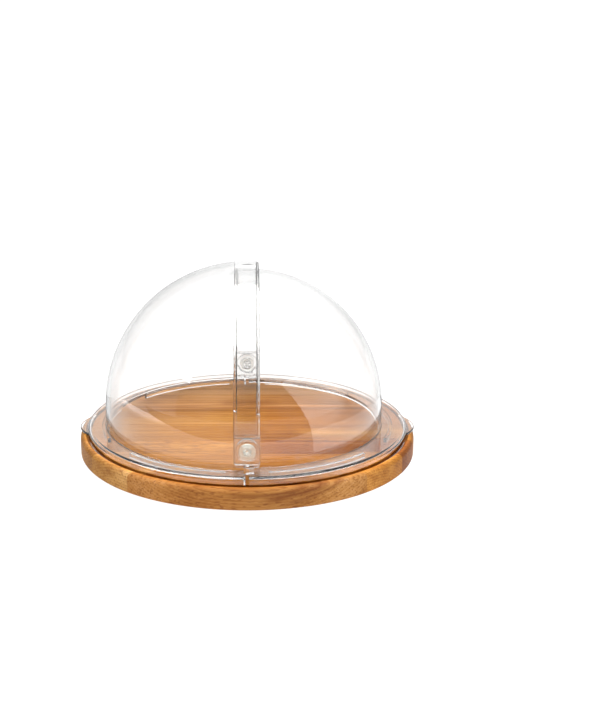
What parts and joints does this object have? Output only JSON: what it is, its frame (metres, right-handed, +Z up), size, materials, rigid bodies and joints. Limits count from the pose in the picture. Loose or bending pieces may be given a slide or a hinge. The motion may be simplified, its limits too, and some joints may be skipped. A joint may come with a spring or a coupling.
{
  "type": "cheese dome",
  "caption": "Round wooden serving board with a loose clear roll-top dome: two nested quarter-sphere halves on snap pivots, the larger rolling over the smaller.",
  "frame": {"origin": "centre of the board's underside", "axes": "+Z up; the pivots lie along Y, the front one towards -Y; the larger half of the hood is towards -X"},
  "size_m": [0.3014, 0.3, 0.17],
  "materials": {
    "stave_1": "oiled, satin",
    "stave_2": "oiled, satin",
    "stave_3": "oiled, satin",
    "stave_4": "oiled, satin",
    "stave_5": "oiled, satin",
    "stave_6": "oiled, satin",
    "stave_7": "oiled, satin",
    "outer_half": "clear, polished",
    "inner_half": "clear, polished",
    "pivot": "clear, slightly milky"
  },
  "bodies": {
    "board": {"stave_1": "stave_1", "stave_2": "stave_2", "stave_3": "stave_3", "stave_4": "stave_4", "stave_5": "stave_5", "stave_6": "stave_6", "stave_7": "stave_7"},
    "inner_half": {"inner_half": "inner_half", "pivot_pin_front": "pivot", "pivot_pin_back": "pivot", "pivot_cap_front": "pivot", "pivot_cap_back": "pivot"},
    "outer_half": {"outer_half": "outer_half"}
  },
  "joints": [
    {"name": "hood_lift", "type": "slide", "parent": "board", "child": "inner_half", "axis": [0, 0, 1], "range_m": [0, 0.12]},
    {"name": "hood_roll", "type": "hinge", "parent": "inner_half", "child": "outer_half", "pos_m": [0, 0, 0.043], "axis": [0, 1, 0], "range_deg": [0, 92.5]}
  ]
}
